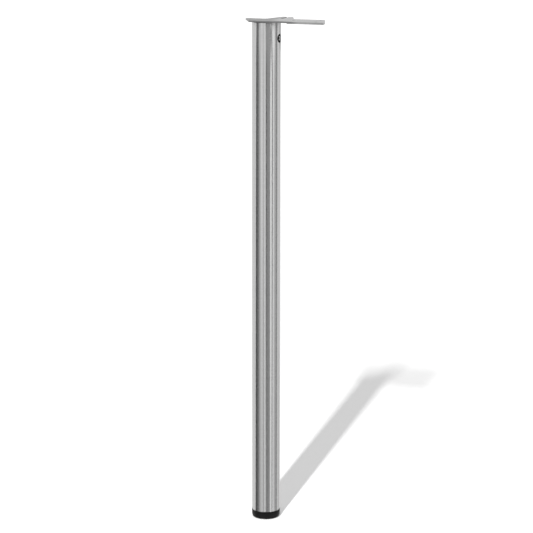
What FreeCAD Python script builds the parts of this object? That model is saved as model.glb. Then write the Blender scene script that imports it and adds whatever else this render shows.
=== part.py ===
import FreeCAD, Part
import math
import os

# A round steel table leg on a height adjustable foot. A stamped plate on top is screwed under the
# table, a split socket below it plugs into the tube, and a grub screw reached through the key hole
# spreads the socket to lock the tube. At the bottom a moulded plug holds a nut for the foot's spindle.
# Millimetres, +Z up. The origin is on the tube's axis, at the underside of the foot.

# Tube
TUBE_OD = 60.0
TUBE_WALL = 1.0
TUBE_LENGTH = 1049.0
TUBE_EDGE_CHAMFER = 0.25
KEY_HOLE_D = 18.5
KEY_HOLE_DROP = 34.0

# Mounting plate, seen from above: a long arm along +X, a side arm along +Y, a short end along -X
PLATE_T = 3.0
PLATE_OVERHANG = 2.0
ARM_REACH = 135.5
ARM_BACK = 33.0
ARM_END_SLANT = 16.5
SIDE_ARM_X = 22.0
SIDE_ARM_REACH = 77.0
SIDE_ARM_TIP_W = 24.0
SIDE_ARM_FLARE = 19.0
SHORT_END_REACH = 54.5
SHORT_END_BACK = 24.0
SHORT_END_SLANT = 26.0
PLATE_CORNER_R = 5.0
PLATE_TIP_R = 3.0
PLATE_NECK_R = 8.0
PLATE_EDGE_BREAK = 0.3
ARM_LIP_START = 54.0
ARM_LIP_W = 3.0
ARM_LIP_DROP = 1.2

# Screw holes in the plate, countersunk from below, and the open slot in the side arm
SCREW_HOLE_D = 5.5
SCREW_SINK_D = 9.5
FAR_PAIR_INSET = 23.5
FAR_PAIR_SPACING = 34.0
MID_HOLE_X = 58.0
SHORT_END_HOLE = (-40.0, 14.0)
SLOT_W = 5.5
SLOT_DEPTH = 44.0

# Socket that plugs into the tube. Its slit and screw, and the key hole, point this far round from +X
LOCK_TURN = -5.0
SOCKET_CLEARANCE = 0.2
SOCKET_WALL = 3.0
SOCKET_HEIGHT = 50.0
SOCKET_SLIT_W = 2.0
SOCKET_LEAD_IN = 1.5
COLLAR_T = 1.0
COLLAR_INSET = 0.6
BOSS_WIDTH = 22.0
BOSS_HEIGHT = 26.0
BOSS_INNER_X = 11.0
BOSS_EDGE_R = 3.0
POCKET_MARGIN = 0.5
POCKET_DEPTH = 6.0

# Grub screw
SCREW_D = 10.0
SCREW_LENGTH = 20.0
SCREW_INSET = 1.0
SCREW_KEY_AF = 5.0
SCREW_KEY_DEPTH = 6.0
SCREW_CONE_LENGTH = 4.0
SCREW_CONE_TIP_D = 3.0

# Foot plug
FLANGE_T = 3.0
FLANGE_OVERHANG = 0.4
FLANGE_EDGE_BREAK = 0.4
PLUG_CLEARANCE = 0.1
PLUG_RIB_HEIGHT = 0.7
PLUG_RIB_W = 1.6
PLUG_RIB_COUNT = 12
PLUG_SKIRT_WALL = 2.0
PLUG_SKIRT_HEIGHT = 34.0
PLUG_LEAD_IN = 1.2
PLUG_HUB_D = 26.0
PLUG_HUB_HEIGHT = 20.0
PLUG_WEB_T = 2.2
PLUG_WEB_COUNT = 6
SPINDLE_HOLE_D = 11.0

# Nut in the plug
NUT_AF = 17.0
NUT_HEIGHT = 8.0
NUT_CHAMFER_DEG = 30.0
NUT_POCKET_CLEARANCE = 0.1

# Spindle
SPINDLE_D = 10.0
SPINDLE_TRAVEL = 30.0
SPINDLE_SPARE = 5.0
SPINDLE_CHAMFER = 1.2
SPINDLE_HEAD_D = 22.0
SPINDLE_HEAD_T = 3.0
SPINDLE_FIT = 0.05

# Glide
GLIDE_GAP = 0.3
GLIDE_HEIGHT = 13.7
GLIDE_ROUND_WIDTH = 4.5
GLIDE_ROUND_HEIGHT = 7.0
GLIDE_ROUND_STEPS = 6
GLIDE_EDGE_BREAK = 0.5
GLIDE_FLOOR_T = 3.0
GLIDE_RIM_T = 3.5
GLIDE_HUB_D = 32.0
GLIDE_WELL_DEPTH = 6.0
GLIDE_RIB_T = 2.0
GLIDE_RIB_COUNT = 6
GLIDE_HEAD_PLAY = 0.1

# Places worked out from the sizes above
TUBE_R = TUBE_OD / 2
TUBE_BORE_R = TUBE_R - TUBE_WALL
PLATE_FRONT = -(TUBE_R + PLATE_OVERHANG)
FLANGE_Z = GLIDE_HEIGHT + GLIDE_GAP
TUBE_Z = FLANGE_Z + FLANGE_T
COLLAR_Z = TUBE_Z + TUBE_LENGTH
PLATE_Z = COLLAR_Z + COLLAR_T
KEY_HOLE_Z = PLATE_Z - KEY_HOLE_DROP
NUT_Z = TUBE_Z + PLUG_HUB_HEIGHT - NUT_HEIGHT
SPINDLE_TOP = TUBE_Z + PLUG_HUB_HEIGHT + SPINDLE_TRAVEL + SPINDLE_SPARE

UP = FreeCAD.Vector(0, 0, 1)
ALONG_X = FreeCAD.Vector(1, 0, 0)
ORIGIN = FreeCAD.Vector(0, 0, 0)


def at(x, y, z=0.0):
    return FreeCAD.Vector(x, y, z)


def cylinder(radius, height, z=0.0):
    return Part.makeCylinder(radius, height, at(0, 0, z))


def cylinder_along_x(radius, start, end, z):
    return Part.makeCylinder(radius, end - start, at(start, 0, z), ALONG_X)


def turned(edges, base=ORIGIN, axis=UP):
    """Solid of revolution of a closed profile."""
    return Part.Face(Part.Wire(edges)).revolve(base, axis, 360)


def closed_lines(points):
    return [Part.LineSegment(a, b).toShape() for a, b in zip(points, points[1:] + points[:1])]


def rounded_outline(corners):
    """Closed wire through corners (x, y, radius), each rounded by an arc that meets its two sides."""
    ends = []
    for i, (x, y, radius) in enumerate(corners):
        here = at(x, y)
        before = at(*corners[i - 1][:2]) - here
        after = at(*corners[(i + 1) % len(corners)][:2]) - here
        half = before.getAngle(after) / 2
        before.normalize()
        after.normalize()
        middle = (before + after).normalize()
        setback = radius / math.tan(half)
        crown = radius / math.sin(half) - radius
        ends.append((here + before * setback, here + middle * crown, here + after * setback))
    edges = []
    for i, (start, crown, end) in enumerate(ends):
        edges.append(Part.Arc(start, crown, end).toShape())
        edges.append(Part.LineSegment(end, ends[(i + 1) % len(ends)][0]).toShape())
    return Part.Wire(edges)


def hexagon(across_flats, height, turn=0.0):
    radius = across_flats / math.sqrt(3)
    points = [at(radius * math.cos(math.radians(turn + 60 * i)),
                 radius * math.sin(math.radians(turn + 60 * i))) for i in range(6)]
    return Part.Face(Part.Wire(closed_lines(points))).extrude(UP * height)


def outer_rims(shape, *heights):
    """The shape's outermost circular edges at the given heights."""
    level = [e for e in shape.Edges if len(e.Vertexes) == 1 and e.BoundBox.ZLength < 1e-6]
    widest = max(e.BoundBox.XLength for e in level)
    return [e for e in level if e.BoundBox.XLength > widest - 1e-6
            and any(abs(e.BoundBox.ZMin - z) < 1e-6 for z in heights)]


def around(shape, count, start=0.0):
    """Copies of a shape, evenly spaced about the tube's axis."""
    copies = []
    for i in range(count):
        copy = shape.copy()
        copy.rotate(ORIGIN, UP, start + 360.0 * i / count)
        copies.append(copy)
    return copies


def leg_tube():
    outer = cylinder(TUBE_R, TUBE_LENGTH, TUBE_Z)
    tube = outer.cut(cylinder(TUBE_BORE_R, TUBE_LENGTH, TUBE_Z))
    tube = tube.makeChamfer(TUBE_EDGE_CHAMFER, outer_rims(tube, TUBE_Z, COLLAR_Z))
    key_hole = cylinder_along_x(KEY_HOLE_D / 2, 0, TUBE_OD, KEY_HOLE_Z)
    key_hole.rotate(ORIGIN, UP, LOCK_TURN)
    return tube.cut(key_hole)


def plate_outline():
    end_shift = (ARM_BACK - PLATE_FRONT) * math.tan(math.radians(ARM_END_SLANT))
    short_shift = (SHORT_END_BACK - PLATE_FRONT) * math.tan(math.radians(SHORT_END_SLANT))
    flare = math.tan(math.radians(SIDE_ARM_FLARE))
    tip = SIDE_ARM_TIP_W / 2
    right_root = SIDE_ARM_X + tip + (SIDE_ARM_REACH - ARM_BACK) * flare
    left_root = SIDE_ARM_X - tip - (SIDE_ARM_REACH - SHORT_END_BACK) * flare
    return rounded_outline([
        (-SHORT_END_REACH + short_shift, PLATE_FRONT, PLATE_CORNER_R),
        (ARM_REACH, PLATE_FRONT, PLATE_CORNER_R),
        (ARM_REACH - end_shift, ARM_BACK, PLATE_CORNER_R),
        (right_root, ARM_BACK, PLATE_NECK_R),
        (SIDE_ARM_X + tip, SIDE_ARM_REACH, PLATE_TIP_R),
        (SIDE_ARM_X - tip, SIDE_ARM_REACH, PLATE_TIP_R),
        (left_root, SHORT_END_BACK, PLATE_NECK_R),
        (-SHORT_END_REACH, SHORT_END_BACK, PLATE_CORNER_R)])


def countersunk_hole(x, y):
    """Screw hole whose countersink opens on the plate's underside."""
    hole_r = SCREW_HOLE_D / 2
    sink_r = SCREW_SINK_D / 2
    hole = Part.makeCylinder(hole_r, PLATE_T, at(x, y, PLATE_Z))
    return hole.fuse(Part.makeCone(sink_r, hole_r, sink_r - hole_r, at(x, y, PLATE_Z)))


def mounting_plate():
    """Flat plate, with a low stiffening lip under the front edge of its long arm."""
    outline = Part.Face(plate_outline())
    plate = outline.extrude(UP * PLATE_T)
    top_edges = [e for e in plate.Edges if abs(e.BoundBox.ZMin - PLATE_T) < 1e-6]
    plate = plate.makeChamfer(PLATE_EDGE_BREAK, top_edges)
    lip = Part.makeBox(ARM_REACH - ARM_LIP_START, ARM_LIP_W, ARM_LIP_DROP,
                       at(ARM_LIP_START, PLATE_FRONT, -ARM_LIP_DROP))
    plate = plate.fuse(outline.extrude(UP * -ARM_LIP_DROP).common(lip)).removeSplitter()
    plate.translate(UP * PLATE_Z)
    far_x = ARM_REACH - FAR_PAIR_INSET
    spots = [(far_x, -FAR_PAIR_SPACING / 2), (far_x, FAR_PAIR_SPACING / 2), (MID_HOLE_X, 0), SHORT_END_HOLE]
    slot_end = SIDE_ARM_REACH - SLOT_DEPTH + SLOT_W / 2
    slot = Part.makeBox(SLOT_W, SLOT_DEPTH, PLATE_T, at(SIDE_ARM_X - SLOT_W / 2, slot_end, PLATE_Z))
    slot = slot.fuse(Part.makeCylinder(SLOT_W / 2, PLATE_T, at(SIDE_ARM_X, slot_end, PLATE_Z)))
    return plate.cut([countersunk_hole(x, y) for x, y in spots] + [slot])


def tube_socket():
    """Split ring with a thick boss for the grub screw, and a collar that the tube's top butts against."""
    outer_r = TUBE_BORE_R - SOCKET_CLEARANCE
    collar_r = TUBE_R - COLLAR_INSET
    inner_r = outer_r - SOCKET_WALL
    bottom = PLATE_Z - SOCKET_HEIGHT
    ring = turned(closed_lines([
        at(inner_r, 0, bottom), at(outer_r - SOCKET_LEAD_IN, 0, bottom),
        at(outer_r, 0, bottom + SOCKET_LEAD_IN), at(outer_r, 0, COLLAR_Z),
        at(collar_r, 0, COLLAR_Z), at(collar_r, 0, PLATE_Z), at(inner_r, 0, PLATE_Z)]))
    boss = Part.makeBox(outer_r - BOSS_INNER_X, BOSS_WIDTH, BOSS_HEIGHT,
                        at(BOSS_INNER_X, -BOSS_WIDTH / 2, KEY_HOLE_Z - BOSS_HEIGHT / 2))
    inner_edges = [e for e in boss.Edges if abs(e.BoundBox.XMax - BOSS_INNER_X) < 1e-6]
    boss = boss.makeFillet(BOSS_EDGE_R, inner_edges)
    boss = boss.common(cylinder((outer_r + inner_r) / 2, SOCKET_HEIGHT, bottom))
    socket = ring.fuse(boss)
    pocket = cylinder_along_x(KEY_HOLE_D / 2 + POCKET_MARGIN, outer_r - POCKET_DEPTH, TUBE_R, KEY_HOLE_Z)
    thread = cylinder_along_x(SCREW_D / 2 + SPINDLE_FIT, 0, TUBE_R, KEY_HOLE_Z)
    slit = Part.makeBox(TUBE_R, SOCKET_SLIT_W, COLLAR_Z - bottom, at(0, -SOCKET_SLIT_W / 2, bottom))
    socket = socket.cut([pocket, thread, slit])
    socket.rotate(ORIGIN, UP, LOCK_TURN)
    return socket


def locking_screw():
    """Set screw: hexagon socket outside, cone inside that wedges the slit open."""
    face_x = TUBE_R - SCREW_INSET
    tip_x = face_x - SCREW_LENGTH
    radius = SCREW_D / 2
    edge = SCREW_D * 0.08
    screw = turned(closed_lines([
        at(tip_x, 0), at(tip_x, SCREW_CONE_TIP_D / 2), at(tip_x + SCREW_CONE_LENGTH, radius),
        at(face_x - edge, radius), at(face_x, radius - edge), at(face_x, 0)]), ORIGIN, ALONG_X)
    key = hexagon(SCREW_KEY_AF, SCREW_KEY_DEPTH)
    key.rotate(ORIGIN, FreeCAD.Vector(0, 1, 0), 90)
    key.translate(at(face_x - SCREW_KEY_DEPTH, 0))
    screw = screw.cut(key)
    screw.translate(UP * KEY_HOLE_Z)
    screw.rotate(ORIGIN, UP, LOCK_TURN)
    return screw


def foot_plug():
    """Moulded plug: flange under the tube, ribbed skirt inside it, hub and webs around the nut."""
    skirt_r = TUBE_BORE_R - PLUG_CLEARANCE - PLUG_RIB_HEIGHT
    skirt_in = skirt_r - PLUG_SKIRT_WALL
    skirt_top = TUBE_Z + PLUG_SKIRT_HEIGHT
    flange = cylinder(TUBE_R + FLANGE_OVERHANG, FLANGE_T, FLANGE_Z)
    flange = flange.makeChamfer(FLANGE_EDGE_BREAK, outer_rims(flange, FLANGE_Z))
    skirt = turned(closed_lines([
        at(skirt_in, 0, FLANGE_Z + FLANGE_T / 2), at(skirt_r, 0, FLANGE_Z + FLANGE_T / 2),
        at(skirt_r, 0, skirt_top - PLUG_LEAD_IN), at(skirt_r - PLUG_LEAD_IN, 0, skirt_top),
        at(skirt_in, 0, skirt_top)]))
    hub = cylinder(PLUG_HUB_D / 2, PLUG_HUB_HEIGHT, TUBE_Z)
    web = Part.makeBox(skirt_r - PLUG_SKIRT_WALL / 2, PLUG_WEB_T, PLUG_HUB_HEIGHT,
                       at(0, -PLUG_WEB_T / 2, TUBE_Z))
    rib_height = PLUG_SKIRT_HEIGHT - 2 * PLUG_LEAD_IN
    rib = Part.makeBox(PLUG_RIB_HEIGHT + PLUG_SKIRT_WALL / 2, PLUG_RIB_W, rib_height,
                       at(skirt_r - PLUG_SKIRT_WALL / 2, -PLUG_RIB_W / 2, TUBE_Z))
    ribs = around(rib, PLUG_RIB_COUNT)
    plug = flange.fuse([skirt, hub] + around(web, PLUG_WEB_COUNT) + ribs)
    plug = plug.common(cylinder(TUBE_R + FLANGE_OVERHANG, FLANGE_T, FLANGE_Z).fuse(
        cylinder(TUBE_BORE_R - PLUG_CLEARANCE, PLUG_SKIRT_HEIGHT, TUBE_Z)))
    nut_pocket = hexagon(NUT_AF + 2 * NUT_POCKET_CLEARANCE, NUT_HEIGHT)
    nut_pocket.translate(UP * NUT_Z)
    spindle_hole = cylinder(SPINDLE_HOLE_D / 2, NUT_Z - FLANGE_Z, FLANGE_Z)
    return plug.cut([nut_pocket, spindle_hole]).removeSplitter()


def spindle_nut():
    """Hexagon nut, chamfered on its upper face."""
    nut = hexagon(NUT_AF, NUT_HEIGHT)
    corner_r = NUT_AF / math.sqrt(3)
    face_r = NUT_AF / 2 * 0.97
    drop = (corner_r - face_r) * math.tan(math.radians(NUT_CHAMFER_DEG))
    limit = turned(closed_lines([
        at(0, 0, 0), at(corner_r, 0, 0), at(corner_r, 0, NUT_HEIGHT - drop),
        at(face_r, 0, NUT_HEIGHT), at(0, 0, NUT_HEIGHT)]))
    nut = nut.common(limit).cut(cylinder(SPINDLE_D / 2 + SPINDLE_FIT, NUT_HEIGHT))
    nut.translate(UP * NUT_Z)
    return nut


def foot_spindle():
    radius = SPINDLE_D / 2
    head_top = GLIDE_FLOOR_T + SPINDLE_HEAD_T
    return turned(closed_lines([
        at(0, 0, GLIDE_FLOOR_T), at(SPINDLE_HEAD_D / 2, 0, GLIDE_FLOOR_T),
        at(SPINDLE_HEAD_D / 2, 0, head_top), at(radius, 0, head_top),
        at(radius, 0, SPINDLE_TOP - SPINDLE_CHAMFER), at(radius - SPINDLE_CHAMFER, 0, SPINDLE_TOP),
        at(0, 0, SPINDLE_TOP)]))


def foot_glide():
    """Moulded foot, flat below with a tall round at its lower edge, ribbed well in its top."""
    profile = [at(0, 0, 0)]
    for i in range(GLIDE_ROUND_STEPS + 1):
        turn = math.pi / 2 * i / GLIDE_ROUND_STEPS
        profile.append(at(TUBE_R - GLIDE_ROUND_WIDTH * (1 - math.sin(turn)), 0,
                          GLIDE_ROUND_HEIGHT * (1 - math.cos(turn))))
    profile += [at(TUBE_R, 0, GLIDE_HEIGHT - GLIDE_EDGE_BREAK),
                at(TUBE_R - GLIDE_EDGE_BREAK, 0, GLIDE_HEIGHT), at(0, 0, GLIDE_HEIGHT)]
    body = turned(closed_lines(profile))
    well_r = TUBE_R - GLIDE_RIM_T
    well = cylinder(well_r, GLIDE_WELL_DEPTH, GLIDE_HEIGHT - GLIDE_WELL_DEPTH)
    well = well.cut(cylinder(GLIDE_HUB_D / 2, GLIDE_WELL_DEPTH, GLIDE_HEIGHT - GLIDE_WELL_DEPTH))
    rib = Part.makeBox(well_r, GLIDE_RIB_T, GLIDE_WELL_DEPTH,
                       at(0, -GLIDE_RIB_T / 2, GLIDE_HEIGHT - GLIDE_WELL_DEPTH))
    well = well.cut(around(rib, GLIDE_RIB_COUNT))
    head_room = cylinder(SPINDLE_HEAD_D / 2 + GLIDE_HEAD_PLAY, SPINDLE_HEAD_T + 2 * GLIDE_HEAD_PLAY,
                         GLIDE_FLOOR_T - GLIDE_HEAD_PLAY)
    bore = cylinder(SPINDLE_D / 2 + SPINDLE_FIT, GLIDE_HEIGHT, GLIDE_FLOOR_T)
    return body.cut([well, head_room, bore])


PIECES = {
    "mounting_plate": mounting_plate,
    "tube_socket": tube_socket,
    "locking_screw": locking_screw,
    "leg_tube": leg_tube,
    "foot_plug": foot_plug,
    "spindle_nut": spindle_nut,
    "foot_spindle": foot_spindle,
    "foot_glide": foot_glide,
}

os.makedirs("parts", exist_ok=True)
for name, make in PIECES.items():
    shape = make()
    print(name, "solids", len(shape.Solids), "valid", shape.isValid(), "volume", round(shape.Volume, 1))
    shape.exportStep(f"parts/{name}.step")
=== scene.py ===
import math

import bmesh
import bpy
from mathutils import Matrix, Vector


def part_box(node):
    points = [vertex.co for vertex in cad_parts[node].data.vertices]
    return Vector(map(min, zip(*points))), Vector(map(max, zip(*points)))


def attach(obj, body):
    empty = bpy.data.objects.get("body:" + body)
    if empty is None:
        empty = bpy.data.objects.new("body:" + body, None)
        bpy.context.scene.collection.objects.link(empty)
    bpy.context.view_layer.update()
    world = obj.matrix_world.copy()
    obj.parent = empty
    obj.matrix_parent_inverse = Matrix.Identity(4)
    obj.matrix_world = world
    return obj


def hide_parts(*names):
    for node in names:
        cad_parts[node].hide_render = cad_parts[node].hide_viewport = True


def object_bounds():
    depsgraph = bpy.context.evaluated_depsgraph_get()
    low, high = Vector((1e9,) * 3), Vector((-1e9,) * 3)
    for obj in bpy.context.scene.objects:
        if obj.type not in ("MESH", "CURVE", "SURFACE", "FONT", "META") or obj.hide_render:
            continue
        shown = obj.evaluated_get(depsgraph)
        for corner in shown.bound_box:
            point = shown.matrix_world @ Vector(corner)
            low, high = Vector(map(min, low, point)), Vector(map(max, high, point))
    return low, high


# Camera: the leg stands upright in the middle of a square picture, seen from above its top
PICTURE = 533
CAMERA_TURN = math.radians(18.5)
CAMERA_DISTANCE = 4.19
CAMERA_HEIGHT = 1.447
CAMERA_TILT = math.radians(12.071)
CAMERA_ROLL = math.radians(-0.05)
FOCAL_PIXELS = 2031.0
SENSOR = 36.0

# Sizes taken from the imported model, in metres
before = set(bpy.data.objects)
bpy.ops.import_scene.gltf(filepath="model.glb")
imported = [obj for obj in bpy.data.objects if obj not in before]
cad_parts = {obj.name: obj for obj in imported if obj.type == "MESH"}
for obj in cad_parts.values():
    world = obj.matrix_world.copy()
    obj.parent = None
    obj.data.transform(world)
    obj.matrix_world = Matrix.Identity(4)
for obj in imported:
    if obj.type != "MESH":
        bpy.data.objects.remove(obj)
CAD_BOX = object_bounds()
TUBE_LOW, TUBE_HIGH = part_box("leg_tube")
TUBE_R = TUBE_HIGH.x
SCREW_LOW, SCREW_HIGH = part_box("locking_screw")
SPINDLE_LOW, SPINDLE_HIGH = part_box("foot_spindle")
GLIDE_LOW, GLIDE_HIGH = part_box("foot_glide")

# Tube: its wall is cut into bands at the key hole's zone, this many hole radii up and down
ROUND_STEPS = 512
TUBE_WALL = 0.001
TUBE_EDGE = 0.00025
KEY_HOLE_R = 0.00925
KEY_HOLE_TURN = math.radians(-5.0)
KEY_HOLE_Z = (SCREW_LOW.z + SCREW_HIGH.z) / 2
HOLE_ZONE = 1.5
HOLE_STEPS = 128

# Spindle: the profile of its thread is given in steps outwards and, in pitches, upwards
SPINDLE_R = 0.005
HEAD_T = 0.003
HEAD_EDGE = 0.0004
HEAD_STEPS = 96
THREAD_PITCH = 0.0015
THREAD_ROOT_R = 0.0042
THREAD_FLANK = 0.44
THREAD_CREST = 0.12
THREAD_TURN_STEPS = 32
POINT_CHAMFER = 0.0012
BLANK_SPARE = 0.0002

# Glide: a round at its lower edge, a shallow groove below, a well with a hub and ribs above
GLIDE_STEPS = 160
GLIDE_ROUND_W = 0.0045
GLIDE_ROUND_H = 0.007
GLIDE_ROUND_STEPS = 16
GLIDE_EDGE = 0.0005
GLIDE_RIM_T = 0.0035
GLIDE_HUB_R = 0.016
GLIDE_WELL = 0.006
GLIDE_BORE_R = 0.00505
GLIDE_RIBS = 6
RIB_T = 0.002
RIB_DROP = 0.0006
RIB_BITE = 0.0003
GROOVE_R = 0.0103
GROOVE_W = 0.0043
GROOVE_SLANT = 0.0008
GROOVE_DEPTH = 0.0005

# Edges are eased in this many steps, and shaded sharp from this angle on. Points nearer than this are one
EDGE_STEPS = 3
SHARP_FROM = math.radians(30)
NEAR = 0.00005

# Brushed steel: noise stretched into fine lines and wider streaks round the tube
LINE_STRETCH = (9.0, 9.0, 2600.0)
LINE_SHARE = 0.6
LINE_BUMP = 0.25
LINE_DEPTH = 0.00004
STREAK_STRETCH = (5.0, 5.0, 420.0)
STREAK_SHARE = 0.4
TUBE_DARK = 0.47
TUBE_PALE = 0.61
TUBE_ROUGHNESS = 0.19
LINE_ROUGHNESS = 0.08

# Plating: grain and clouds, and what a grey level becomes where it is dark, pale or under painted shade
GRAIN_SCALE = 900.0
GRAIN_SHARE = 0.4
GRAIN_BUMP = 0.12
GRAIN_DEPTH = 0.00005
GRAIN_ROUGHNESS = 0.1
CLOUD_SCALE = 110.0
CLOUD_SHARE = 0.6
PLATING_DARK = 0.76
PLATING_PALE = 1.2
PLATING_SHADED = 0.50
FASTENER_GREY = 0.6
FASTENER_ROUGHNESS = 0.3
PLATE_GREY = 0.43
PLATE_ROUGHNESS = 0.38

# The plate has painted shade, a darker grey, around the tube, up to X, and further along its front edge: in
# front of Y the border runs out by its slant
PLATE_SHADE_X = 0.016
PLATE_SHADE_Y = -0.010
PLATE_SHADE_SLANT = 2.5
PLATE_SHADE_FADE = 0.01

# Blackened screw: painted light, a pale grey, on its outer end over the last part of its length, in patches
# on its lit far side
SCREW_BLACK = 0.02
SCREW_LIT_GREY = 0.90
SCREW_ROUGHNESS = 0.30
LIGHT_START = 0.0010
LIGHT_FULL = 0.0007
LIGHT_SIDE_START = -0.0031
LIGHT_SIDE_FULL = -0.0006
PATCH_SCALE = 700.0
PATCH_REACH = 0.004

# Moulded plastic and black coating
PLASTIC_SPECULAR = 0.16
PLASTIC_GRAIN = 1600.0
PLASTIC_CLOUD = 60.0
PLASTIC_DARK = 0.004
PLASTIC_PALE = 0.008
PLASTIC_ROUGHNESS = 0.40
PLASTIC_GRAIN_ROUGHNESS = 0.15
PLASTIC_BUMP = 0.2
PLASTIC_DEPTH = 0.00006
COAT_SPECULAR = 0.3
COAT_GRAIN = 700.0
COAT_DARK = 0.006
COAT_PALE = 0.03
COAT_ROUGHNESS = 0.45
COAT_GRAIN_ROUGHNESS = 0.2
COAT_BUMP = 0.4
COAT_DEPTH = 0.0001

# Light: the key light, a tall narrow softbox, throws the top's shadow this far to the right and away.
# The floor's glow, which only the camera sees, grows from the near to the far distance
AMBIENT = 0.50
KEY_IRRADIANCE = 3.2
KEY_DISTANCE = 7.3
KEY_WIDTH = 0.14
KEY_HEIGHT = 0.60
FLOOR_GLOW = 0.13
FAR_GLOW = 4.6
GLOW_NEAR = 1.4
GLOW_FAR = 6.0
SHADOW_RIGHT = 0.305
SHADOW_AWAY = 1.165
TOP_Z = CAD_BOX[1].z
FLOOR_SIZE = 60.0


class Socket:
    """A shader value: expressions on it add the Math nodes that work it out."""

    def __init__(self, maker, socket):
        self.maker = maker
        self.socket = socket

    def math(self, operation, *others):
        return self.maker.node("ShaderNodeMath", {"operation": operation}, dict(enumerate((self, *others))))

    def __add__(self, other):
        return self.math("ADD", other)

    __radd__ = __add__

    def __mul__(self, other):
        return self.math("MULTIPLY", other)

    __rmul__ = __mul__

    def __sub__(self, other):
        return self.math("SUBTRACT", other)

    def __rsub__(self, other):
        return self * -1.0 + other

    def clamp(self, low, high):
        return self.math("MAXIMUM", low).math("MINIMUM", high)


class Nodes:
    """The node tree of a material or world."""

    def __init__(self, tree):
        self.tree = tree

    def feed(self, target, values):
        """Sets or links the sockets of a node."""
        for key, value in values.items():
            if isinstance(value, Socket):
                self.tree.links.new(value.socket, target.inputs[key])
            else:
                target.inputs[key].default_value = value

    def node(self, kind, settings=None, values=None, out=0):
        """Adds a node: its settings come first, then its sockets."""
        made = self.tree.nodes.new(kind)
        for key, value in (settings or {}).items():
            setattr(made, key, value)
        self.feed(made, values or {})
        return Socket(self, made.outputs[out])

    def ray(self, kind):
        """One for rays of this kind, and zero for all others."""
        return self.node("ShaderNodeLightPath", out=f"Is {kind} Ray")

    def fade(self, value, low, high, first=0.0, last=1.0, interpolation="LINEAR"):
        """Goes from first to last while the value goes from low to high."""
        ends = {"Value": value, "From Min": low, "From Max": high, "To Min": first, "To Max": last}
        return self.node("ShaderNodeMapRange", {"interpolation_type": interpolation}, ends)

    def place(self, scale=(1.0, 1.0, 1.0)):
        """Object coordinates, stretched."""
        here = self.node("ShaderNodeTexCoord", out="Object")
        return self.node("ShaderNodeMapping", values={"Vector": here, "Scale": scale})

    def along(self, axis):
        """One of the object coordinates."""
        return self.node("ShaderNodeSeparateXYZ", values={"Vector": self.place()}, out=axis)

    def noise(self, scale, detail=2.0, roughness=0.5, stretch=(1.0, 1.0, 1.0)):
        values = {"Vector": self.place(stretch), "Scale": scale, "Detail": detail, "Roughness": roughness}
        return self.node("ShaderNodeTexNoise", values=values, out="Fac")

    def mix(self, amount, first, second):
        """Colour between two colours."""
        values = {0: amount, 6: first, 7: second}
        return self.node("ShaderNodeMix", {"data_type": "RGBA"}, values, out=2)

    def bump(self, height, strength, distance):
        values = {"Height": height, "Strength": strength, "Distance": distance}
        return self.node("ShaderNodeBump", values=values)


class Finish(Nodes):
    """One material, whose own sockets are set or linked by coat."""

    def __init__(self, name, constants):
        self.material = bpy.data.materials.new(name)
        self.material.use_nodes = True
        super().__init__(self.material.node_tree)
        self.coat(constants)

    def coat(self, values):
        self.feed(self.tree.nodes["Principled BSDF"], values)
        return self.material


def grey(level):
    return (level, level, level, 1.0)


def brushed_steel():
    """Nickel-grey steel, brushed round the tube: light smears along the tube and stays sharp across it."""
    steel = Finish("brushed_nickel_steel",
                   {"Metallic": 1.0, "Anisotropic": 1.0, "Anisotropic Rotation": 0.25})
    lines = steel.noise(1.0, 3.0, 0.6, LINE_STRETCH)
    streaks = steel.noise(1.0, 2.0, 0.55, STREAK_STRETCH)
    tone = (lines * LINE_SHARE + streaks * STREAK_SHARE).clamp(0.0, 1.0)
    return steel.coat({"Base Color": steel.mix(tone, grey(TUBE_DARK), grey(TUBE_PALE)),
                       "Roughness": lines * LINE_ROUGHNESS + TUBE_ROUGHNESS,
                       "Normal": steel.bump(lines, LINE_BUMP, LINE_DEPTH)})


def plated_steel(name, level, roughness, painted_shade_x=None):
    """Satin zinc-nickel plating with a faint grain and soft clouds, darkened by painted shade up to about
    painted_shade_x.
    """
    steel = Finish(name, {"Metallic": 1.0})
    grain = steel.noise(GRAIN_SCALE, 3.0)
    tone = (grain * GRAIN_SHARE + steel.noise(CLOUD_SCALE) * CLOUD_SHARE).clamp(0.0, 1.0)
    shade = steel.mix(tone, grey(level * PLATING_DARK), grey(level * PLATING_PALE))
    # Painted shade: a darker grey around the tube and along the plate's front edge
    if painted_shade_x is not None:
        in_front = (steel.along("Y") - PLATE_SHADE_Y).math("MINIMUM", 0.0)
        across = steel.along("X") + in_front * PLATE_SHADE_SLANT
        unshaded = steel.fade(across, painted_shade_x - PLATE_SHADE_FADE, painted_shade_x + PLATE_SHADE_FADE,
                           interpolation="SMOOTHSTEP")
        shade = steel.mix(unshaded, grey(level * PLATING_SHADED), shade)
    return steel.coat({"Base Color": shade,
                       "Roughness": grain * GRAIN_ROUGHNESS + (roughness - GRAIN_ROUGHNESS / 2),
                       "Normal": steel.bump(grain, GRAIN_BUMP, GRAIN_DEPTH)})


def blackened_screw():
    """Black screw with painted light on its outer end, mostly on its lit far side."""
    steel = Finish("blackened_screw", {"Metallic": 1.0})
    # Painted light: the lit far side of the outer end is painted pale
    end = steel.fade(steel.along("X"), SCREW_HIGH.x - LIGHT_START, SCREW_HIGH.x - LIGHT_FULL)
    patchy = steel.along("Y") + steel.noise(PATCH_SCALE) * PATCH_REACH
    painted_light = end * steel.fade(patchy, LIGHT_SIDE_START, LIGHT_SIDE_FULL)
    return steel.coat({"Base Color": steel.mix(painted_light, grey(SCREW_BLACK), grey(SCREW_LIT_GREY)),
                       "Roughness": steel.noise(GRAIN_SCALE, 3.0) * GRAIN_ROUGHNESS + SCREW_ROUGHNESS})


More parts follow.
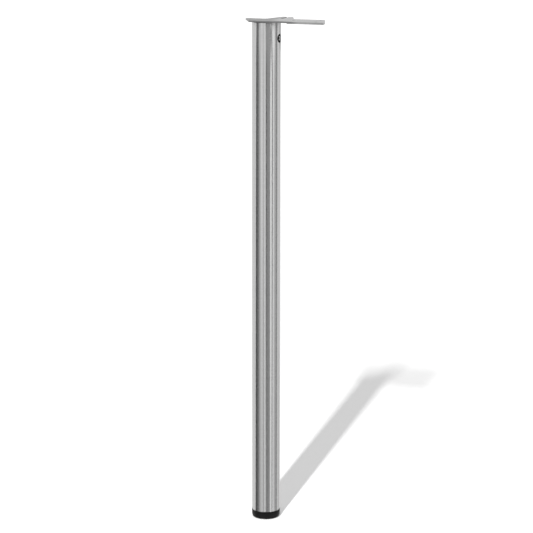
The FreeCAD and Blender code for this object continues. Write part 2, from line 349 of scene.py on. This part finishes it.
def black_plastic(name):
    """Moulded black plastic with the fine spark-eroded grain of its mould."""
    plastic = Finish(name, {"Specular IOR Level": PLASTIC_SPECULAR})
    grain = plastic.noise(PLASTIC_GRAIN, 3.0, 0.6)
    cloud = plastic.noise(PLASTIC_CLOUD)
    return plastic.coat({"Base Color": plastic.mix(cloud, grey(PLASTIC_DARK), grey(PLASTIC_PALE)),
                         "Roughness": grain * PLASTIC_GRAIN_ROUGHNESS + PLASTIC_ROUGHNESS,
                         "Normal": plastic.bump(grain, PLASTIC_BUMP, PLASTIC_DEPTH)})


def black_coating(name):
    """Thin black coat on rough cast metal, paler on the casting's grain."""
    coat = Finish(name, {"Specular IOR Level": COAT_SPECULAR})
    grain = coat.noise(COAT_GRAIN, 4.0, 0.6)
    return coat.coat({"Base Color": coat.mix(grain, grey(COAT_DARK), grey(COAT_PALE)),
                      "Roughness": grain * COAT_GRAIN_ROUGHNESS + COAT_ROUGHNESS,
                      "Normal": coat.bump(grain, COAT_BUMP, COAT_DEPTH)})


def dress(node, material):
    """Gives a CAD node its finish."""
    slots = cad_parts[node].data.materials
    slots.clear()
    slots.append(material)


def stage_floor():
    """White floor: shows as the white background, far away too, and still takes the object's shadow."""
    bpy.ops.mesh.primitive_plane_add(size=FLOOR_SIZE, location=(0.0, 0.0, 0.0))
    floor = bpy.context.object
    floor.name = "floor"
    paint = Finish("white_floor", {"Roughness": 0.9, "Specular IOR Level": 0.1, "Base Color": grey(1.0)})
    away = paint.node("ShaderNodeVectorMath", {"operation": "LENGTH"}, {0: paint.place()}, out="Value")
    paint.coat({"Emission Strength": paint.ray("Camera") * FLOOR_GLOW,
                "Emission Color": paint.fade(away, GLOW_NEAR, GLOW_FAR, 1.0, FAR_GLOW)})
    floor.data.materials.append(paint.material)
    floor.visible_glossy = False


def reflection_card(name, start, end, level, low_level, radius=2.6, low=-5.0, high=6.0):
    """Curved card that only reflections see. Each side is an angle from the camera and a lean."""
    first = CAMERA_TURN - math.pi / 2
    points = []
    for i in range(CARD_STEPS + 1):
        for z in (low, high):
            left, right = (angle + lean * (z - CARD_MIDDLE) for angle, lean in (start, end))
            turn = first + math.radians(left + (right - left) * i / CARD_STEPS)
            points.append((radius * math.cos(turn), radius * math.sin(turn), z))
    faces = [(2 * i, 2 * i + 2, 2 * i + 3, 2 * i + 1) for i in range(CARD_STEPS)]
    mesh = bpy.data.meshes.new(name)
    mesh.from_pydata(points, [], faces)
    card = bpy.data.objects.new(name, mesh)
    bpy.context.scene.collection.objects.link(card)
    paper = Finish(name + "_paper", {"Base Color": grey(0.0), "Specular IOR Level": 0.0,
                                     "Emission Color": grey(level), "Emission Strength": 1.0})
    if low_level != level:
        up = paper.fade(paper.along("Z"), FADE_LOW, FADE_HIGH)
        paper.coat({"Emission Color": paper.mix(up, grey(low_level), grey(level))})
    mesh.materials.append(paper.material)
    card.visible_camera = False
    card.visible_diffuse = False
    card.visible_shadow = False
    card.visible_transmission = False


# Reflection cards, edge to edge: each edge's angle from the camera in degrees, rightwards, and its lean
# in degrees for each metre upwards, then the grey levels of the card that follows, high up and low down
CARD_STEPS = 8
CARD_MIDDLE = 0.3
FADE_LOW = -0.45
FADE_HIGH = -0.10
CARDS = [
    (-90.5, 6, 0.03, 0.08), (-78, 1, 0.28, 0.28), (-63, 0, 0.55, 0.55), (-54, 0, 0.82, 0.75),
    (-44, 0, 1.18, 0.86), (-28, -2, 0.82, 0.46), (-20, -3, 1.02, 1.24), (-11.5, -3, 1.04, 0.64),
    (-1.5, -3, 0.0, 0.12), (5, -3, 0.43, 0.38), (32, -1.5, 1.34, 1.22), (46.5, 0, 0.0, 0.72),
    (54, -4, 1.40, 1.25), (62, -4, 0.90, 0.78), (73, -5, 0.78, 0.62), (84, -6, 0.28, 0.30),
    (96, -6, 0.82, 0.90), (110, -5, 1.03, 0.90), (124, -5, 0.88, 0.74), (152, 0, None, None),
]


# Small cards close to the tube's top, which leave a short pattern of their own there
NEAR_CARDS = [(-100, 1.05), (-80.5, 0.24), (-58.5, 1.00), (-30, None), (-13, 1.15), (-3.3, 0.58), (27, 0.0),
              (42, 1.45), (69, None), (122, 0.50), (160, None)]
NEAR_CARD_R = 0.2
NEAR_CARD_LOW = 0.992
NEAR_CARD_HIGH = 1.066


def world_light():
    """Even white surroundings: plain light on the object, and white to the camera and in reflections."""
    world = bpy.data.worlds.new("studio")
    bpy.context.scene.world = world
    world.use_nodes = True
    sky = Nodes(world.node_tree)
    seen = sky.ray("Camera").math("MAXIMUM", sky.ray("Glossy"))
    sky.feed(world.node_tree.nodes["Background"],
             {"Color": grey(1.0), "Strength": sky.fade(seen, 0.0, 1.0, AMBIENT, 1.0)})


def key_light():
    """Softbox at the front left, so that the leg's shadow runs back and to the right and widens a little."""
    data = bpy.data.lights.new("key", "AREA")
    data.shape = "RECTANGLE"
    data.size = KEY_WIDTH
    data.size_y = KEY_HEIGHT
    data.energy = KEY_IRRADIANCE * math.pi * KEY_DISTANCE ** 2
    lamp = bpy.data.objects.new("key", data)
    cos, sin = math.cos(CAMERA_TURN), math.sin(CAMERA_TURN)
    shadow = Vector((SHADOW_RIGHT * cos - SHADOW_AWAY * sin, SHADOW_RIGHT * sin + SHADOW_AWAY * cos, -TOP_Z))
    lamp.location = Vector((0.0, 0.0, TOP_Z)) - shadow.normalized() * KEY_DISTANCE
    lamp.rotation_euler = shadow.to_track_quat("-Z", "Y").to_euler()
    lamp.visible_glossy = False
    bpy.context.scene.collection.objects.link(lamp)


def make_camera():
    data = bpy.data.cameras.new("camera")
    data.sensor_width = SENSOR
    data.lens = FOCAL_PIXELS / PICTURE * SENSOR
    data.clip_end = 100.0
    camera = bpy.data.objects.new("camera", data)
    camera.location = (math.sin(CAMERA_TURN) * CAMERA_DISTANCE,
                       -math.cos(CAMERA_TURN) * CAMERA_DISTANCE, CAMERA_HEIGHT)
    camera.rotation_euler = (math.pi / 2 - CAMERA_TILT, CAMERA_ROLL, CAMERA_TURN)
    bpy.context.scene.collection.objects.link(camera)
    bpy.context.scene.camera = camera


def add_round(steps, radius, low, high, **settings):
    """An upright cylinder round the Z axis, with its place in its mesh."""
    bpy.ops.object.select_all(action="DESELECT")
    bpy.ops.mesh.primitive_cylinder_add(vertices=steps, radius=radius, depth=high - low,
                                        location=(0.0, 0.0, (low + high) / 2), **settings)
    bpy.ops.object.transform_apply(location=True, rotation=False, scale=False)
    return bpy.context.object


def edit(on=True):
    """Opens or closes the active piece for editing."""
    bpy.ops.object.mode_set(mode="EDIT" if on else "OBJECT")


def select_rings(kind, *rings):
    """Selects the faces or edges with all corners on one of the rings, each a radius and a height."""
    bpy.ops.mesh.select_mode(type=kind)
    bpy.ops.mesh.select_all(action="DESELECT")
    data = bpy.context.object.data
    mesh = bmesh.from_edit_mesh(data)
    for item in mesh.faces if kind == "FACE" else mesh.edges:
        corners = [(math.hypot(*corner.co.xy), corner.co.z) for corner in item.verts]
        if any(all(abs(r - radius) < NEAR and abs(z - height) < NEAR for r, z in corners)
               for radius, height in rings):
            item.select_set(True)
    mesh.select_flush_mode()
    bmesh.update_edit_mesh(data)


def extrude(out, up, kind="region"):
    """Extrudes what is selected by a step outwards along X and upwards."""
    operator = getattr(bpy.ops.mesh, f"extrude_{kind}_move")
    operator(TRANSFORM_OT_translate={"value": (out, 0.0, up)})


def bevel_rings(size, segments, *rings):
    """Rounds or chamfers the edges on these rings."""
    select_rings("EDGE", *rings)
    bpy.ops.mesh.bevel(offset=size, offset_type="OFFSET", segments=segments, affect="EDGES")


def cut_across(height, **settings):
    """Bisects the whole mesh at a height."""
    bpy.ops.mesh.select_all(action="SELECT")
    bpy.ops.mesh.bisect(plane_co=(0.0, 0.0, height), plane_no=(0.0, 0.0, 1.0), **settings)


def add_modifier(piece, kind, **settings):
    """Gives the piece a modifier and applies it."""
    bpy.context.view_layer.objects.active = piece
    modifier = piece.modifiers.new(kind.lower(), kind)
    for key, value in settings.items():
        setattr(modifier, key, value)
    bpy.ops.object.modifier_apply(modifier=modifier.name)


def boolean(piece, operation, tool):
    """Cuts the piece by a tool, which is then removed."""
    add_modifier(piece, "BOOLEAN", operation=operation, solver="EXACT", object=tool)
    bpy.data.objects.remove(tool)


def join(piece, others):
    """Joins the others into the piece."""
    bpy.ops.object.select_all(action="DESELECT")
    for each in (piece, *others):
        each.select_set(True)
    bpy.context.view_layer.objects.active = piece
    bpy.ops.object.join()


def stand_in(piece, name, material, node, body):
    """Finishes a piece and shows it in place of its CAD node, on the same body."""
    piece.name = piece.data.name = name
    bpy.ops.object.select_all(action="DESELECT")
    piece.select_set(True)
    bpy.context.view_layer.objects.active = piece
    bpy.ops.object.shade_smooth_by_angle(angle=SHARP_FROM)
    piece.data.materials.clear()
    piece.data.materials.append(material)
    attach(piece, body)
    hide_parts(node)


def brushed_tube(material):
    """Open tube with eased ends and a key hole drilled through one wall."""
    tube = add_round(ROUND_STEPS, TUBE_R, TUBE_LOW.z, TUBE_HIGH.z, end_fill_type="NOTHING")
    add_modifier(tube, "SOLIDIFY", thickness=TUBE_WALL, offset=-1.0, use_even_offset=True)
    edit()
    bevel_rings(TUBE_EDGE, EDGE_STEPS, (TUBE_R, TUBE_LOW.z), (TUBE_R, TUBE_HIGH.z))
    cut_across(KEY_HOLE_Z - KEY_HOLE_R * HOLE_ZONE)
    cut_across(KEY_HOLE_Z + KEY_HOLE_R * HOLE_ZONE)
    edit(False)
    bpy.ops.object.select_all(action="DESELECT")
    out = Vector((math.cos(KEY_HOLE_TURN), math.sin(KEY_HOLE_TURN), 0.0))
    bpy.ops.mesh.primitive_cylinder_add(vertices=HOLE_STEPS, radius=KEY_HOLE_R, depth=TUBE_R,
                                        location=out * TUBE_R + Vector((0.0, 0.0, KEY_HOLE_Z)),
                                        rotation=(0.0, math.pi / 2, KEY_HOLE_TURN))
    boolean(tube, "DIFFERENCE", bpy.context.object)
    stand_in(tube, "brushed_tube", material, "leg_tube", "leg")


def cut_thread(low, high):
    """Thread with a tapered start and a chamfered point: a profile screwed upwards and turned to a blank."""
    turns = math.ceil((high - low) / THREAD_PITCH) + 3
    bpy.ops.object.select_all(action="DESELECT")
    bpy.ops.mesh.primitive_plane_add(size=THREAD_PITCH, location=(THREAD_ROOT_R, 0.0, low - 2 * THREAD_PITCH))
    bpy.ops.object.transform_apply(location=True, rotation=False, scale=False)
    thread = bpy.context.object
    depth = SPINDLE_R - THREAD_ROOT_R
    flank, crest = THREAD_PITCH * THREAD_FLANK, THREAD_PITCH * THREAD_CREST
    edit()
    bpy.ops.mesh.select_mode(type="VERT")
    bpy.ops.mesh.merge(type="CENTER")
    for out, up in ((depth, flank), (0.0, crest), (-depth, flank)):
        extrude(out, up, "vertices")
    edit(False)
    add_modifier(thread, "SCREW", axis="Z", screw_offset=THREAD_PITCH, iterations=turns,
                 steps=THREAD_TURN_STEPS, render_steps=THREAD_TURN_STEPS)
    edit()
    bpy.ops.mesh.select_all(action="SELECT")
    bpy.ops.mesh.remove_doubles(threshold=NEAR / 10)
    cut_across(low - THREAD_PITCH / 2, use_fill=True, clear_inner=True)
    cut_across(high + THREAD_PITCH / 2, use_fill=True, clear_outer=True)
    bpy.ops.mesh.select_all(action="SELECT")
    bpy.ops.mesh.normals_make_consistent(inside=False)
    edit(False)
    wide = SPINDLE_R + BLANK_SPARE
    blank = add_round(THREAD_TURN_STEPS, wide, low, high)
    edit()
    bevel_rings(wide - THREAD_ROOT_R, 1, (wide, low))
    bevel_rings(POINT_CHAMFER + BLANK_SPARE, 1, (wide, high))
    edit(False)
    boolean(thread, "INTERSECT", blank)
    return thread


def threaded_spindle(material):
    """Round head, plain neck and a cut thread up to a chamfered point."""
    low, high = SPINDLE_LOW.z, SPINDLE_HIGH.z
    head_r, head_top = SPINDLE_HIGH.x, SPINDLE_LOW.z + HEAD_T
    spindle = add_round(HEAD_STEPS, head_r, low, head_top)
    edit()
    select_rings("FACE", (head_r, head_top))
    bpy.ops.mesh.inset(thickness=head_r - THREAD_ROOT_R)
    extrude(0.0, THREAD_PITCH)
    bevel_rings(HEAD_EDGE, EDGE_STEPS, (head_r, low), (head_r, head_top))
    edit(False)
    join(spindle, [cut_thread(head_top + THREAD_PITCH, high)])
    stand_in(spindle, "threaded_spindle", material, "foot_spindle", "spindle")


def glide_ribs(low, high, inner, outer):
    """Ribs from the hub to the rim: one is modelled, and copied round the glide."""
    bpy.ops.object.select_all(action="DESELECT")
    bpy.ops.mesh.primitive_cube_add(size=1.0, location=((inner + outer) / 2, 0.0, (low + high) / 2),
                                    scale=(outer - inner, RIB_T, high - low))
    bpy.ops.object.transform_apply(location=True, rotation=False, scale=True)
    ribs = [bpy.context.object]
    for i in range(1, GLIDE_RIBS):
        rib = ribs[0].copy()
        rib.data = rib.data.copy()
        rib.rotation_euler.z = 2 * math.pi * i / GLIDE_RIBS
        bpy.context.scene.collection.objects.link(rib)
        ribs.append(rib)
    return ribs


def moulded_glide(material):
    """Foot with a smooth tall round at its lower edge and a ribbed well in its top."""
    radius, top = GLIDE_HIGH.x, GLIDE_HIGH.z
    well_r, floor = radius - GLIDE_RIM_T, top - GLIDE_WELL
    tall = GLIDE_ROUND_H / GLIDE_ROUND_W
    glide = add_round(GLIDE_STEPS, radius, 0.0, top / tall)
    edit()
    bevel_rings(GLIDE_ROUND_W, GLIDE_ROUND_STEPS, (radius, 0.0))
    edit(False)
    glide.scale.z = tall
    bpy.ops.object.transform_apply(location=False, rotation=False, scale=True)
    edit()
    select_rings("FACE", (radius - GLIDE_ROUND_W, 0.0))
    bpy.ops.mesh.inset(thickness=radius - GLIDE_ROUND_W - GROOVE_R)
    bpy.ops.mesh.inset(thickness=GROOVE_SLANT, depth=-GROOVE_DEPTH)
    bpy.ops.mesh.inset(thickness=GROOVE_W - 2 * GROOVE_SLANT)
    bpy.ops.mesh.inset(thickness=GROOVE_SLANT, depth=GROOVE_DEPTH)
    select_rings("FACE", (radius, top))
    bpy.ops.mesh.inset(thickness=GLIDE_RIM_T)
    extrude(0.0, -GLIDE_WELL)
    bpy.ops.mesh.inset(thickness=well_r - GLIDE_HUB_R)
    extrude(0.0, GLIDE_WELL)
    bpy.ops.mesh.inset(thickness=GLIDE_HUB_R - GLIDE_BORE_R)
    extrude(0.0, -GLIDE_WELL)
    # The spindle fills the bore, so the bore has no floor
    bpy.ops.mesh.delete(type="FACE")
    bevel_rings(GLIDE_EDGE, EDGE_STEPS, *((r, top) for r in (radius, well_r, GLIDE_HUB_R, GLIDE_BORE_R)))
    edit(False)
    join(glide, glide_ribs(floor - RIB_BITE, top - RIB_DROP, GLIDE_HUB_R - RIB_BITE, well_r + RIB_BITE))
    stand_in(glide, "moulded_glide", material, "foot_glide", "foot")


make_camera()
world_light()
bpy.ops.object.select_all(action="DESELECT")
stage_floor()
for i, (card, after) in enumerate(zip(CARDS, CARDS[1:])):
    reflection_card(f"card_{i}", card[:2], after[:2], card[2], card[3])
for i, (card, after) in enumerate(zip(NEAR_CARDS, NEAR_CARDS[1:])):
    if card[1] is not None:
        reflection_card(f"near_card_{i}", (card[0], 0), (after[0], 0), card[1], card[1],
                        NEAR_CARD_R, NEAR_CARD_LOW, NEAR_CARD_HIGH)
key_light()

brushed_tube(brushed_steel())
threaded_spindle(plated_steel("plated_spindle", FASTENER_GREY, FASTENER_ROUGHNESS))
moulded_glide(black_plastic("black_foot_plastic"))
dress("mounting_plate", plated_steel("satin_plated_plate", PLATE_GREY, PLATE_ROUGHNESS, PLATE_SHADE_X))
dress("tube_socket", black_coating("black_coated_socket"))
dress("locking_screw", blackened_screw())
dress("spindle_nut", plated_steel("plated_nut", FASTENER_GREY, FASTENER_ROUGHNESS))
dress("foot_plug", black_plastic("black_plug_plastic"))

bpy.context.scene.view_settings.view_transform = "Standard"
